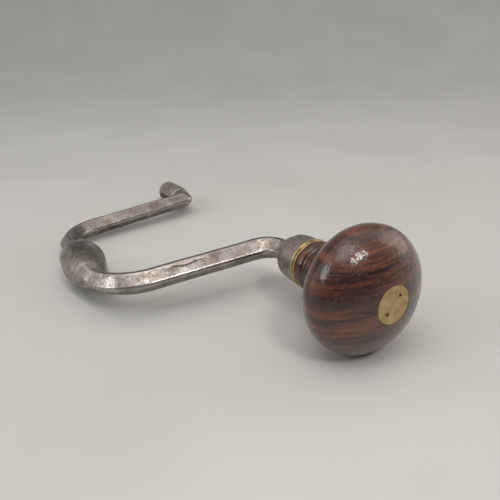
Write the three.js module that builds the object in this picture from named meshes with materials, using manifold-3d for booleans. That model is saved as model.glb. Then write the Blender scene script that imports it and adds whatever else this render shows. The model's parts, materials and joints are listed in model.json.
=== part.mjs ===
// A Scotch-pattern carpenter's brace: a forged steel crank with a swelling for a grip, a rosewood head
// that turns on a steel spindle, and a square bit socket with a sprung catch.
//
// Lengths are in millimetres. The pieces are drawn on the brace's own axes: X runs along the axis from
// the crown of the head to the mouth of the socket, Y points from the axis to the grip, and Z is square
// to the plane of the crank. At the end the whole brace is turned to lie on its three feet, on Z = 0.

import * as THREE from 'three';
import { mergeVertices } from 'three/addons/utils/BufferGeometryUtils.js';
import Module from 'manifold-3d';

const wasm = await Module();
wasm.setup();

// ---------------------------------------------------------------- driving sizes

const HEAD_DIAMETER = 76;
const SWEEP = 235;
const OVERALL_LENGTH = 317;
const BAR_WIDTH = 12.6;
const GRIP_DIAMETER = 31.4;
const SOCKET_DIAMETER = 20.6;
const TANG_SIDE = 11.2;
const CLEARANCE = 0.3;

// ---------------------------------------------------------------- sizes that follow

const HEAD_RADIUS = HEAD_DIAMETER / 2;
const THROW = SWEEP / 2;
// The bar is square and lies on edge: its blunted corners point along and across the crank plane.
const BAR_BLUNT = BAR_WIDTH * 0.095;
const BAR_REACH = BAR_WIDTH / Math.SQRT2 - BAR_BLUNT;
const GRIP_RADIUS = GRIP_DIAMETER / 2;
const SOCKET_RADIUS = SOCKET_DIAMETER / 2;

// Head: a flattened ball with a turned neck.
const WIDEST_X = 22;
const CROWN_DEPTH = 23;
const BACK_DEPTH = 24;
const RIDGE_X = 40.5;
const COVE_END_X = 55;
const NECK_RADIUS = 16.9;
const SMALL_BEAD_X = 56.8;
const SMALL_BEAD_HALF = 1.4;
const BEAD_X = 62.2;
const BEAD_HALF = 2.8;
const GROOVE_RADIUS = 15.3;
const FERRULE_START_X = 65.4;
const FERRULE_END_X = 67.4;
const FERRULE_RADIUS = 16.4;
const FERRULE_SEAT_RADIUS = 14.5;
const NECK_END_X = 66.2;

// Bores inside the head, from the crown down.
const COVER_RADIUS = 11;
const COVER_THICKNESS = 2.6;
const COVER_LEDGE_X = COVER_THICKNESS + CLEARANCE;
const NUT_WELL_RADIUS = 10;
const NUT_WELL_FLOOR_X = 24.3;
const CROWN_BUSH_RADIUS = 6.6;
const CROWN_BUSH_END_X = 32;
const NECK_BUSH_RADIUS = 8.7;
const NECK_BUSH_START_X = 44.3;

// Spindle: screwed end, upper journal, lower journal, root.
const SPINDLE_TIP_X = 12.4;
const THREAD_RADIUS = 3.5;
const UPPER_JOURNAL_X = 21.9;
const UPPER_JOURNAL_RADIUS = 4.8;
const LOWER_JOURNAL_X = 43.5;
const LOWER_JOURNAL_RADIUS = 6.4;
const ROOT_X = 69;
const ROOT_RADIUS = 5;
const ROOT_END_X = 84;

// Bell collar between the head and the crank.
const WASHER_X = FERRULE_END_X + CLEARANCE;
const WASHER_THICKNESS = 1.3;
const COLLAR_X = WASHER_X + WASHER_THICKNESS + CLEARANCE;
const COLLAR_RADIUS = 15.8;
const COLLAR_SHOULDER_X = 78;
const COLLAR_END_X = 95;
const COLLAR_END_RADIUS = 8.6;
const TENON_RADIUS = 4.6;
const TENON_LENGTH = 6;

// Crank: the corners of the bar's centre line, and the radius of each bend.
const CRANK_START_X = COLLAR_END_X + CLEARANCE;
const NEAR_ELBOW_X = 113.5;
const NEAR_BEND_X = 126.5;
const GRIP_X = 191;
const GRIP_NEAR_LENGTH = 30;
const GRIP_FAR_LENGTH = 24;
const FAR_BEND_X = 262;
const FAR_ELBOW_X = 272.6;
const NEAR_ELBOW_BEND = 16;
const NEAR_GRIP_BEND = 34;
const FAR_GRIP_BEND = 30;

// Socket: a round drum with a tapered square hole and a slot for the catch.
const SOCKET_X = 282;
const SOCKET_FULL_X = 289;
const SOCKET_BACK_RADIUS = 8;
const SOCKET_MOUTH_X = OVERALL_LENGTH;
const MOUTH_CHAMFER = 1.6;
const TANG_DEPTH = 26;
const TANG_TAPER = 0.78;
const SOCKET_TENON_RADIUS = 3.2;

// Catch: a lever on a cross pin, with a leaf spring under its thumb end.
const CATCH_WIDTH = 4;
const SLOT_WIDTH = CATCH_WIDTH + 2 * CLEARANCE;
const SLOT_FRONT_X = SOCKET_MOUTH_X - 5;
const SLOT_BREAK_X = 293.5;
const SLOT_BACK_X = 284.3;
const POCKET_FLOOR_Y = 6.2;
const PIVOT_X = 301;
const PIVOT_Y = 7.6;
const PIVOT_RADIUS = 1.1;
const PIVOT_LENGTH = 12;
const LEVER_TOP_Y = 10.2;
const LEVER_SOLE_Y = 5.8;
const NIB_Y = 4.3;
const THUMB_Y = 17.5;
const SPRING_THICKNESS = 0.6;
const SPRING_SCREW_X = 286.2;

const ROUND = 40;
const SMALL_ROUND = 20;

// ---------------------------------------------------------------- solids

function toSolid(geometry) {
  const bare = geometry.index ? geometry.toNonIndexed() : geometry.clone();
  bare.deleteAttribute('normal');
  bare.deleteAttribute('uv');
  const welded = mergeVertices(bare, 1e-3);
  return new wasm.Manifold(new wasm.Mesh({
    numProp: 3,
    vertProperties: welded.attributes.position.array,
    triVerts: Uint32Array.from(welded.index.array),
  }));
}

function toGeometry(solid) {
  const mesh = solid.getMesh();
  const geometry = new THREE.BufferGeometry();
  geometry.setAttribute('position', new THREE.BufferAttribute(mesh.vertProperties, mesh.numProp));
  geometry.setIndex(new THREE.BufferAttribute(mesh.triVerts, 1));
  const faceted = geometry.toNonIndexed();
  faceted.computeVertexNormals();
  return faceted;
}

function joined(...solids) {
  return solids.reduce((whole, piece) => whole.add(piece));
}

function cut(solid, ...tools) {
  return tools.reduce((rest, tool) => rest.subtract(tool), solid);
}

// Turns an outline of (distance along X, radius) about the X axis. It runs clockwise round the metal,
// out along the bore and back along the outside, and closes on itself or on the axis.
function turned(outline, segments = ROUND, divisions = 5) {
  const points = outline.getPoints(divisions).map((point) => new THREE.Vector2(point.y, point.x));
  return toSolid(new THREE.LatheGeometry(points, segments).rotateZ(-Math.PI / 2));
}

// An outline given as plain corners.
function outlineOf(corners) {
  const outline = new THREE.Path();
  corners.forEach(([x, radius], index) => {
    if (index === 0) {
      outline.moveTo(x, radius);
    } else {
      outline.lineTo(x, radius);
    }
  });
  return outline;
}

// A round bar along X between two stations.
function roundBar(startX, endX, radius, segments = SMALL_ROUND) {
  const length = endX - startX;
  const bar = new THREE.CylinderGeometry(radius, radius, length, segments).rotateZ(-Math.PI / 2);
  return toSolid(bar.translate((startX + endX) / 2, 0, 0));
}

// A ring about X with a bore, its outer corners eased.
function ring(startX, endX, bore, radius, ease = 0.4) {
  return turned(outlineOf([
    [endX, bore],
    [startX, bore],
    [startX, radius - ease],
    [startX + ease, radius],
    [endX - ease, radius],
    [endX, radius - ease],
    [endX, bore],
  ]));
}

function block(minimum, maximum) {
  const size = new THREE.Vector3().subVectors(maximum, minimum);
  const centre = new THREE.Vector3().addVectors(minimum, maximum).multiplyScalar(0.5);
  const box = new THREE.BoxGeometry(size.x, size.y, size.z);
  return toSolid(box.translate(centre.x, centre.y, centre.z));
}

// ---------------------------------------------------------------- materials

const FINISHES = {
  steel: { color: 0x77706a, roughness: 0.42, metalness: 0.9 },
  darkSteel: { color: 0x4c4844, roughness: 0.5, metalness: 0.85 },
  springSteel: { color: 0x5b6068, roughness: 0.38, metalness: 0.9 },
  brass: { color: 0xb08f57, roughness: 0.42, metalness: 0.85 },
  rosewood: { color: 0x4b2216, roughness: 0.32, metalness: 0 },
};

const brace = new THREE.Group();
brace.name = 'scotch_brace';

function addPiece(name, solid, finish) {
  const mesh = new THREE.Mesh(toGeometry(solid), new THREE.MeshStandardMaterial(FINISHES[finish]));
  mesh.name = name;
  brace.add(mesh);
}

// ---------------------------------------------------------------- head

// Place of a screw on the crown bush, or of its pilot hole in the wood.
const CROWN_SCREW_CIRCLE = 8.4;
const CROWN_SCREWS = 3;
const CROWN_BUSH_X = NUT_WELL_FLOOR_X - CLEARANCE - 1.8;

function aroundAxis(solid, index, count, startDegrees = 0) {
  return solid.rotate([startDegrees + (360 * index) / count, 0, 0]);
}

function crownScrewShank(radius, endX) {
  return roundBar(CROWN_BUSH_X, endX, radius, 12).translate([0, CROWN_SCREW_CIRCLE, 0]);
}

function rosewoodHead() {
  const crownAngle = Math.asin((COVER_RADIUS + CLEARANCE) / HEAD_RADIUS);
  const ridgeAngle = Math.acos((RIDGE_X - WIDEST_X) / BACK_DEPTH);
  const outline = new THREE.Path();
  outline.moveTo(NECK_END_X, FERRULE_SEAT_RADIUS);
  outline.lineTo(NECK_END_X, NECK_BUSH_RADIUS + CLEARANCE);
  outline.lineTo(NECK_BUSH_START_X - CLEARANCE, NECK_BUSH_RADIUS + CLEARANCE);
  outline.lineTo(NECK_BUSH_START_X - CLEARANCE, CROWN_BUSH_RADIUS + CLEARANCE);
  outline.lineTo(NUT_WELL_FLOOR_X, CROWN_BUSH_RADIUS + CLEARANCE);
  outline.lineTo(NUT_WELL_FLOOR_X, NUT_WELL_RADIUS);
  outline.lineTo(COVER_LEDGE_X, NUT_WELL_RADIUS);
  outline.lineTo(COVER_LEDGE_X, COVER_RADIUS + CLEARANCE);
  outline.absellipse(WIDEST_X, 0, CROWN_DEPTH, HEAD_RADIUS, Math.PI - crownAngle, Math.PI / 2, true);
  outline.absellipse(WIDEST_X, 0, BACK_DEPTH, HEAD_RADIUS, Math.PI / 2, ridgeAngle, true);
  outline.quadraticCurveTo(RIDGE_X + 2, NECK_RADIUS + 1, COVE_END_X, NECK_RADIUS);
  outline.absellipse(SMALL_BEAD_X, NECK_RADIUS - 1, SMALL_BEAD_HALF, 1.1, Math.PI, 0, true);
  outline.lineTo(SMALL_BEAD_X + SMALL_BEAD_HALF, GROOVE_RADIUS);
  outline.absellipse(BEAD_X, GROOVE_RADIUS, BEAD_HALF, 1.3, Math.PI, 0, true);
  outline.lineTo(FERRULE_START_X - CLEARANCE, GROOVE_RADIUS);
  outline.lineTo(FERRULE_START_X - CLEARANCE, FERRULE_SEAT_RADIUS);
  outline.lineTo(NECK_END_X, FERRULE_SEAT_RADIUS);
  const pilot = crownScrewShank(0.9 + CLEARANCE, NUT_WELL_FLOOR_X + 8.4);
  const pilots = Array.from({ length: CROWN_SCREWS }, (_, index) => aroundAxis(pilot, index, CROWN_SCREWS));
  return cut(turned(outline, 48, 6), ...pilots);
}

// Brass disc that closes the nut well, with two holes for a forked driver.
function coverDisc() {
  const hole = roundBar(-1, COVER_THICKNESS + 1, 1.1, 14);
  const spacing = COVER_RADIUS * 0.56;
  const disc = cut(
    roundBar(0, COVER_THICKNESS, COVER_RADIUS, ROUND),
    hole.translate([0, spacing, 0]),
    hole.translate([0, -spacing, 0]),
  );
  return disc.rotate([138, 0, 0]);
}

function crownBush() {
  const shell = turned(outlineOf([
    [CROWN_BUSH_END_X, UPPER_JOURNAL_RADIUS + CLEARANCE],
    [CROWN_BUSH_X, UPPER_JOURNAL_RADIUS + CLEARANCE],
    [CROWN_BUSH_X, NUT_WELL_RADIUS - CLEARANCE],
    [NUT_WELL_FLOOR_X - CLEARANCE, NUT_WELL_RADIUS - CLEARANCE],
    [NUT_WELL_FLOOR_X - CLEARANCE, CROWN_BUSH_RADIUS],
    [CROWN_BUSH_END_X, CROWN_BUSH_RADIUS],
    [CROWN_BUSH_END_X, UPPER_JOURNAL_RADIUS + CLEARANCE],
  ]));
  const hole = crownScrewShank(0.9 + CLEARANCE, NUT_WELL_FLOOR_X + 1).translate([-1, 0, 0]);
  const holes = Array.from({ length: CROWN_SCREWS }, (_, index) => aroundAxis(hole, index, CROWN_SCREWS));
  return cut(shell, ...holes);
}

// Round-headed wood screw with a tapered point and a slot.
function crownScrew(index) {
  const headX = CROWN_BUSH_X - CLEARANCE - 1;
  const body = turned(outlineOf([
    [headX, 0],
    [headX, 0.9],
    [headX + 0.5, 1.2],
    [headX + 1, 1.2],
    [headX + 1, 0.9],
    [NUT_WELL_FLOOR_X + 5.5, 0.9],
    [NUT_WELL_FLOOR_X + 8, 0],
  ]), 12);
  const slot = block(new THREE.Vector3(headX - 1, -0.2, -2), new THREE.Vector3(headX + 0.4, 0.2, 2));
  const screw = cut(body, slot).translate([0, CROWN_SCREW_CIRCLE, 0]);
  return aroundAxis(screw, index, CROWN_SCREWS);
}

// Flanged brass bush that lines the neck and bears on the spindle's lower journal.
function neckBush() {
  const bore = LOWER_JOURNAL_RADIUS + CLEARANCE;
  return turned(outlineOf([
    [FERRULE_END_X, bore],
    [NECK_BUSH_START_X, bore],
    [NECK_BUSH_START_X, NECK_BUSH_RADIUS],
    [NECK_END_X + CLEARANCE, NECK_BUSH_RADIUS],
    [NECK_END_X + CLEARANCE, FERRULE_SEAT_RADIUS],
    [FERRULE_END_X, FERRULE_SEAT_RADIUS],
    [FERRULE_END_X, bore],
  ]));
}

// Brass band that binds the end of the neck.
function neckFerrule() {
  return ring(FERRULE_START_X, FERRULE_END_X, FERRULE_SEAT_RADIUS + CLEARANCE, FERRULE_RADIUS, 0.5);
}

// ---------------------------------------------------------------- spindle

const WASHER_GAP_X = CROWN_BUSH_X - 2 * CLEARANCE - 1.4;
const NUT_HEIGHT = 5;
const NUT_X = WASHER_GAP_X - 2 * CLEARANCE - NUT_HEIGHT;
const NUT_PIN_X = NUT_X + NUT_HEIGHT / 2;
const NUT_PIN_RADIUS = 0.7;

function alongY(solid, x) {
  return solid.rotate([0, 0, 90]).translate([x, 0, 0]);
}

function headSpindle() {
  const body = turned(outlineOf([
    [SPINDLE_TIP_X, 0],
    [SPINDLE_TIP_X, THREAD_RADIUS - 0.6],
    [SPINDLE_TIP_X + 0.6, THREAD_RADIUS],
    [UPPER_JOURNAL_X, THREAD_RADIUS],
    [UPPER_JOURNAL_X, UPPER_JOURNAL_RADIUS],
    [LOWER_JOURNAL_X, UPPER_JOURNAL_RADIUS],
    [LOWER_JOURNAL_X, LOWER_JOURNAL_RADIUS],
    [ROOT_X, LOWER_JOURNAL_RADIUS],
    [ROOT_X, ROOT_RADIUS],
    [ROOT_END_X, ROOT_RADIUS],
    [ROOT_END_X, 0],
  ]), 32);
  return cut(body, alongY(roundBar(-8, 8, NUT_PIN_RADIUS + CLEARANCE, 12), NUT_PIN_X));
}

function endWasher() {
  return ring(WASHER_GAP_X, WASHER_GAP_X + 1.4, THREAD_RADIUS + CLEARANCE, 6.7, 0.3);
}

function spindleNut() {
  const hexagon = roundBar(NUT_X, NUT_X + NUT_HEIGHT, 6.6, 6);
  const bore = roundBar(NUT_X - 1, NUT_X + NUT_HEIGHT + 1, THREAD_RADIUS + CLEARANCE);
  return cut(hexagon, bore, alongY(roundBar(-8, 8, NUT_PIN_RADIUS + CLEARANCE, 12), NUT_PIN_X));
}

function nutCrossPin() {
  return alongY(roundBar(-7, 7, NUT_PIN_RADIUS, 12), NUT_PIN_X);
}

// Brass washer that takes the push of the head against the collar.
function thrustWasher() {
  return ring(WASHER_X, WASHER_X + WASHER_THICKNESS, LOWER_JOURNAL_RADIUS + CLEARANCE, FERRULE_RADIUS);
}

// ---------------------------------------------------------------- collar and crank

function neckCollar() {
  const outline = new THREE.Path();
  outline.moveTo(COLLAR_X, ROOT_RADIUS + CLEARANCE);
  outline.lineTo(COLLAR_X, COLLAR_RADIUS - 0.5);
  outline.lineTo(COLLAR_X + 0.5, COLLAR_RADIUS);
  outline.absellipse(
    COLLAR_SHOULDER_X,
    COLLAR_END_RADIUS,
    COLLAR_END_X - COLLAR_SHOULDER_X - 1,
    COLLAR_RADIUS - COLLAR_END_RADIUS,
    Math.PI / 2,
    0,
    true,
  );
  outline.lineTo(COLLAR_END_X, COLLAR_END_RADIUS - 1);
  outline.lineTo(COLLAR_END_X, TENON_RADIUS + CLEARANCE);
  outline.lineTo(COLLAR_END_X - TENON_LENGTH, TENON_RADIUS + CLEARANCE);
  outline.lineTo(COLLAR_END_X - TENON_LENGTH, 0);
  outline.lineTo(ROOT_END_X + CLEARANCE, 0);
  outline.lineTo(ROOT_END_X + CLEARANCE, ROOT_RADIUS + CLEARANCE);
  outline.lineTo(COLLAR_X, ROOT_RADIUS + CLEARANCE);
  return turned(outline);
}

// A chain of straights joined by arcs, through the given corners.
function bentLine(corners) {
  const path = new THREE.Path();
  path.moveTo(corners[0].x, corners[0].y);
  for (let index = 1; index < corners.length - 1; index += 1) {
    const { x, y, bend } = corners[index];
    const corner = new THREE.Vector2(x, y);
    const incoming = corner.clone().sub(corners[index - 1]).normalize();
    const outgoing = new THREE.Vector2().subVectors(corners[index + 1], corner).normalize();
    const turn = Math.acos(incoming.dot(outgoing));
    const side = Math.sign(incoming.cross(outgoing));
    const start = corner.clone().addScaledVector(incoming, -bend * Math.tan(turn / 2));
    const centre = start.clone().add(new THREE.Vector2(-incoming.y, incoming.x).multiplyScalar(side * bend));
    const from = start.clone().sub(centre).angle();
    path.lineTo(start.x, start.y);
    path.absarc(centre.x, centre.y, bend, from, from + side * turn, side < 0);
  }
  const last = corners[corners.length - 1];
  path.lineTo(last.x, last.y);
  return path;
}

// A flat path as a curve in space.
class FlatCurve extends THREE.Curve {
  constructor(path) {
    super();
    this.path = path;
  }

  getPoint(t, target = new THREE.Vector3()) {
    const { x, y } = this.path.getPoint(t);
    return target.set(x, y, 0);
  }
}

// A square standing on one corner, each corner cut back to a narrow flat.
function squareOnEdge(reach, blunt) {
  const corner = [new THREE.Vector2(reach, -blunt), new THREE.Vector2(reach, blunt)];
  const points = [];
  for (let quarter = 0; quarter < 4; quarter += 1) {
    const angle = (quarter * Math.PI) / 2;
    points.push(...corner.map((point) => point.clone().rotateAround(new THREE.Vector2(), angle)));
  }
  return new THREE.Shape(points);
}

// Keeps the part of a solid on the side of a plane that the flat direction points to.
function trimmed(solid, through, direction) {
  return solid.trimByPlane([direction.x, direction.y, 0], through.dot(direction));
}

// The bar, mitred at the far elbow, its two end tenons and the swelling that the hand holds.
function crankFrame() {
  const section = squareOnEdge(BAR_REACH, BAR_BLUNT);
  const farSlope = (FAR_ELBOW_X - FAR_BEND_X) / THROW;
  const centreLine = bentLine([
    { x: CRANK_START_X, y: 0 },
    { x: NEAR_ELBOW_X, y: 0, bend: NEAR_ELBOW_BEND },
    { x: NEAR_BEND_X, y: THROW, bend: NEAR_GRIP_BEND },
    { x: FAR_BEND_X, y: THROW, bend: FAR_GRIP_BEND },
    { x: FAR_ELBOW_X + BAR_WIDTH * farSlope, y: -BAR_WIDTH },
  ]);
  const bar = toSolid(new THREE.ExtrudeGeometry(section, {
    steps: 120,
    bevelEnabled: false,
    extrudePath: new FlatCurve(centreLine),
  }));
  const stubStart = FAR_ELBOW_X - BAR_WIDTH;
  const stub = new THREE.ExtrudeGeometry(section, {
    depth: SOCKET_X - CLEARANCE - stubStart,
    bevelEnabled: false,
  });
  stub.rotateY(Math.PI / 2).translate(stubStart, 0, 0);
  const elbow = new THREE.Vector2(FAR_ELBOW_X, 0);
  const mitre = new THREE.Vector2(farSlope, -1).normalize().add(new THREE.Vector2(1, 0)).normalize();
  const swelling = new THREE.Path();
  swelling.absellipse(GRIP_X, 0, GRIP_NEAR_LENGTH, GRIP_RADIUS, Math.PI, Math.PI / 2, true);
  swelling.absellipse(GRIP_X, 0, GRIP_FAR_LENGTH, GRIP_RADIUS, Math.PI / 2, 0, true);
  return joined(
    trimmed(bar, elbow, mitre.clone().negate()),
    trimmed(toSolid(stub), elbow, mitre),
    turned(swelling, 32, 6).translate([0, THROW, 0]),
    roundBar(CRANK_START_X - TENON_LENGTH, CRANK_START_X + 1, TENON_RADIUS),
    roundBar(SOCKET_X - 1, SOCKET_X - CLEARANCE + TENON_LENGTH, SOCKET_TENON_RADIUS),
  );
}

// ---------------------------------------------------------------- socket and catch

// Square prism along X that narrows from the mouth to the bottom of the hole.
function taperedHole() {
  const corner = TANG_SIDE / Math.SQRT2;
  const length = TANG_DEPTH + 1;
  const mouth = corner * (1 + (1 - TANG_TAPER) / TANG_DEPTH);
  const prism = new THREE.CylinderGeometry(mouth, corner * TANG_TAPER, length, 4);
  prism.rotateY(Math.PI / 4).rotateZ(-Math.PI / 2);
  return toSolid(prism.translate(SOCKET_MOUTH_X + 1 - length / 2, 0, 0));
}

function pinAlongZ(x, y, length, radius) {
  const pin = new THREE.CylinderGeometry(radius, radius, length, 16).rotateX(Math.PI / 2);
  return toSolid(pin.translate(x, y, 0));
}

function studAlongY(x, fromY, toY, radius) {
  const stud = new THREE.CylinderGeometry(radius, radius, toY - fromY, 14);
  return toSolid(stud.translate(x, (fromY + toY) / 2, 0));
}

function chuckSocket() {
  const outline = new THREE.Path();
  outline.moveTo(SOCKET_X, 0);
  outline.lineTo(SOCKET_X, SOCKET_BACK_RADIUS);
  outline.absellipse(
    SOCKET_FULL_X,
    SOCKET_BACK_RADIUS,
    SOCKET_FULL_X - SOCKET_X,
    SOCKET_RADIUS - SOCKET_BACK_RADIUS,
    Math.PI,
    Math.PI / 2,
    true,
  );
  outline.lineTo(SOCKET_MOUTH_X - MOUTH_CHAMFER, SOCKET_RADIUS);
  outline.lineTo(SOCKET_MOUTH_X, SOCKET_RADIUS - MOUTH_CHAMFER);
  outline.lineTo(SOCKET_MOUTH_X, 0);
  const half = SLOT_WIDTH / 2;
  const top = SOCKET_RADIUS + 2;
  return cut(
    turned(outline),
    roundBar(SOCKET_X - 1, SOCKET_X + TENON_LENGTH, SOCKET_TENON_RADIUS + CLEARANCE),
    taperedHole(),
    block(new THREE.Vector3(SLOT_BREAK_X, 3, -half), new THREE.Vector3(SLOT_FRONT_X, top, half)),
    block(new THREE.Vector3(SLOT_BACK_X, POCKET_FLOOR_Y, -half), new THREE.Vector3(SLOT_BREAK_X + 1, top, half)),
    pinAlongZ(PIVOT_X, PIVOT_Y, 2 * SOCKET_DIAMETER, PIVOT_RADIUS + CLEARANCE),
    studAlongY(SPRING_SCREW_X, 4, POCKET_FLOOR_Y + 1, 0.7 + CLEARANCE),
  );
}

// Side view of the lever: nib at the front, thumb piece curling out at the back.
function catchLever() {
  const nibFront = SLOT_FRONT_X - 2 * CLEARANCE;
  const shape = new THREE.Shape();
  shape.moveTo(nibFront, LEVER_TOP_Y);
  shape.lineTo(PIVOT_X - 5, LEVER_TOP_Y);
  shape.quadraticCurveTo(PIVOT_X - 9, LEVER_TOP_Y + 0.6, PIVOT_X - 10.5, THUMB_Y);
  shape.lineTo(PIVOT_X - 12.6, THUMB_Y - 0.4);
  shape.quadraticCurveTo(PIVOT_X - 12.4, LEVER_TOP_Y - 1, PIVOT_X - 9, LEVER_TOP_Y - 1.6);
  shape.lineTo(PIVOT_X - 5, LEVER_TOP_Y - 1.8);
  shape.lineTo(PIVOT_X - 2.6, LEVER_SOLE_Y);
  shape.lineTo(PIVOT_X + 7, LEVER_SOLE_Y);
  shape.lineTo(nibFront - 3, NIB_Y);
  shape.lineTo(nibFront - 0.8, NIB_Y);
  shape.lineTo(nibFront, LEVER_SOLE_Y);
  shape.closePath();
  const plate = new THREE.ExtrudeGeometry(shape, { depth: CATCH_WIDTH, bevelEnabled: false, curveSegments: 5 });
  const bore = pinAlongZ(PIVOT_X, PIVOT_Y, 2 * CATCH_WIDTH, PIVOT_RADIUS + CLEARANCE);
  return cut(toSolid(plate.translate(0, 0, -CATCH_WIDTH / 2)), bore);
}

// Leaf that lies under its screw and rises to the sole of the thumb end.
function catchSpring() {
  const back = SLOT_BACK_X + CLEARANCE;
  const tip = PIVOT_X - 5.5;
  const foot = POCKET_FLOOR_Y + CLEARANCE;
  const top = LEVER_TOP_Y - 1.8 - CLEARANCE;
  const shape = new THREE.Shape();
  shape.moveTo(back, foot);
  shape.lineTo(SPRING_SCREW_X + 1.8, foot);
  shape.quadraticCurveTo(PIVOT_X - 9, foot, tip, top - SPRING_THICKNESS);
  shape.lineTo(tip, top);
  shape.quadraticCurveTo(PIVOT_X - 9.2, foot + SPRING_THICKNESS, SPRING_SCREW_X + 1.8, foot + SPRING_THICKNESS);
  shape.lineTo(back, foot + SPRING_THICKNESS);
  shape.closePath();
  const width = CATCH_WIDTH - 0.4;
  const leaf = new THREE.ExtrudeGeometry(shape, { depth: width, bevelEnabled: false, curveSegments: 6 });
  const hole = studAlongY(SPRING_SCREW_X, foot - 1, foot + 2, 0.7 + CLEARANCE);
  return cut(toSolid(leaf.translate(0, 0, -width / 2)), hole);
}

function springScrew() {
  const seat = POCKET_FLOOR_Y + SPRING_THICKNESS + 2 * CLEARANCE;
  const shank = studAlongY(SPRING_SCREW_X, 4 + CLEARANCE, seat + 0.2, 0.7);
  const head = studAlongY(SPRING_SCREW_X, seat, seat + 0.8, 1.3);
  const slot = block(
    new THREE.Vector3(SPRING_SCREW_X - 2, seat + 0.5, -0.2),
    new THREE.Vector3(SPRING_SCREW_X + 2, seat + 2, 0.2),
  );
  return cut(joined(shank, head), slot);
}

// ---------------------------------------------------------------- the assembly

addPiece('crank_frame', crankFrame(), 'steel');
addPiece('neck_collar', neckCollar(), 'steel');
addPiece('head_spindle', headSpindle(), 'steel');
addPiece('thrust_washer', thrustWasher(), 'brass');
addPiece('spindle_washer', endWasher(), 'steel');
addPiece('spindle_nut', spindleNut(), 'steel');
addPiece('nut_cross_pin', nutCrossPin(), 'steel');

addPiece('rosewood_head', rosewoodHead(), 'rosewood');
addPiece('neck_ferrule', neckFerrule(), 'brass');
addPiece('neck_bush', neckBush(), 'brass');
addPiece('crown_bush', crownBush(), 'brass');
for (let index = 0; index < CROWN_SCREWS; index += 1) {
  addPiece(`crown_screw_${index + 1}`, crownScrew(index), 'steel');
}
addPiece('cover_disc', coverDisc(), 'brass');

addPiece('chuck_socket', chuckSocket(), 'darkSteel');
addPiece('catch_lever', catchLever(), 'darkSteel');
addPiece('catch_pivot_pin', pinAlongZ(PIVOT_X, PIVOT_Y, PIVOT_LENGTH, PIVOT_RADIUS), 'steel');
addPiece('catch_spring', catchSpring(), 'springSteel');
addPiece('spring_screw', springScrew(), 'darkSteel');

// ---------------------------------------------------------------- lying on its three feet

// The vertex of a piece that is lowest against the given upward direction.
function foot(name, up) {
  const position = brace.getObjectByName(name).geometry.attributes.position;
  const vertex = new THREE.Vector3();
  const lowest = new THREE.Vector3(0, 0, Infinity);
  let least = Infinity;
  for (let index = 0; index < position.count; index += 1) {
    const height = vertex.fromBufferAttribute(position, index).dot(up);
    if (height < least) {
      least = height;
      lowest.copy(vertex);
    }
  }
  return lowest;
}

// The upward normal of the plane under the head, the grip and the socket.
function restingUp() {
  let up = new THREE.Vector3(0, 0, 1);
  for (let pass = 0; pass < 12; pass += 1) {
    const head = foot('rosewood_head', up);
    const grip = foot('crank_frame', up);
    const socket = foot('chuck_socket', up);
    up = socket.sub(head).cross(grip.sub(head)).normalize();
  }
  return up;
}

const up = restingUp();
const along = new THREE.Vector3(1, 0, 0).projectOnPlane(up).normalize();
const across = new THREE.Vector3().crossVectors(up, along);
brace.applyMatrix4(new THREE.Matrix4().makeBasis(along, across, up).invert());
const bounds = new THREE.Box3().setFromObject(brace, true);
const middle = bounds.getCenter(new THREE.Vector3());
brace.position.sub(new THREE.Vector3(middle.x, middle.y, bounds.min.z));

export default brace;
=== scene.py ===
import json
import math

import bmesh
import bpy
from mathutils import Matrix, Vector, noise


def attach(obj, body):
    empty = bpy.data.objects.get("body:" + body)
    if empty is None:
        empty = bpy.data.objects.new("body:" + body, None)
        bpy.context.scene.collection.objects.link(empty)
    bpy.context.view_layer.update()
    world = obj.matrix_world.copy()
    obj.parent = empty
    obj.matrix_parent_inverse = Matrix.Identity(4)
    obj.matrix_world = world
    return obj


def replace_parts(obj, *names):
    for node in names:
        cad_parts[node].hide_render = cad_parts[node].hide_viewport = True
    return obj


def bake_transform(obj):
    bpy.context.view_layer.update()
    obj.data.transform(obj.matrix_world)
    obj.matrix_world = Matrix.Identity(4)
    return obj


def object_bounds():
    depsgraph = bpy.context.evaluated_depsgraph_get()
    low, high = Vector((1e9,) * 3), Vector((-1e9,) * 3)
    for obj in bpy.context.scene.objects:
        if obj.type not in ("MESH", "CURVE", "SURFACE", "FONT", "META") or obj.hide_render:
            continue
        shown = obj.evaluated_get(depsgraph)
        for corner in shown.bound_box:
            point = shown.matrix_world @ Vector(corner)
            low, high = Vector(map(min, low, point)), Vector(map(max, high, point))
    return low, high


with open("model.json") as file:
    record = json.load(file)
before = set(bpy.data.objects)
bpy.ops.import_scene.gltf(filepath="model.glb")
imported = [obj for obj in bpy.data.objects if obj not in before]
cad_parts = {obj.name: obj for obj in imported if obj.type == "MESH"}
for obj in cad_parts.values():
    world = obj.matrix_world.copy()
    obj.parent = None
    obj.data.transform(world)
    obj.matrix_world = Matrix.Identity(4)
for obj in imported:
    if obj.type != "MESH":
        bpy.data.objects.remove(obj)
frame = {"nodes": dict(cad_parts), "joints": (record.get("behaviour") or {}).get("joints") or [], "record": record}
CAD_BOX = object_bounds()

# A Scotch-pattern brace lying on a pale table. Lengths are millimetres on the brace's own axes: X runs
# from the crown of the head to the mouth of the socket, Y from the axis to the grip, Z square to the
# crank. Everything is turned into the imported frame, in metres, when a mesh is made.

MM = 0.001
X, Y, Z = 0, 1, 2
ON_AXIS = 1e-6

# -------- the brace's axes, from the record


def named(items, name):
    """The item of a list that has the given name."""
    return next(item for item in items if item["name"] == name)


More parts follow.
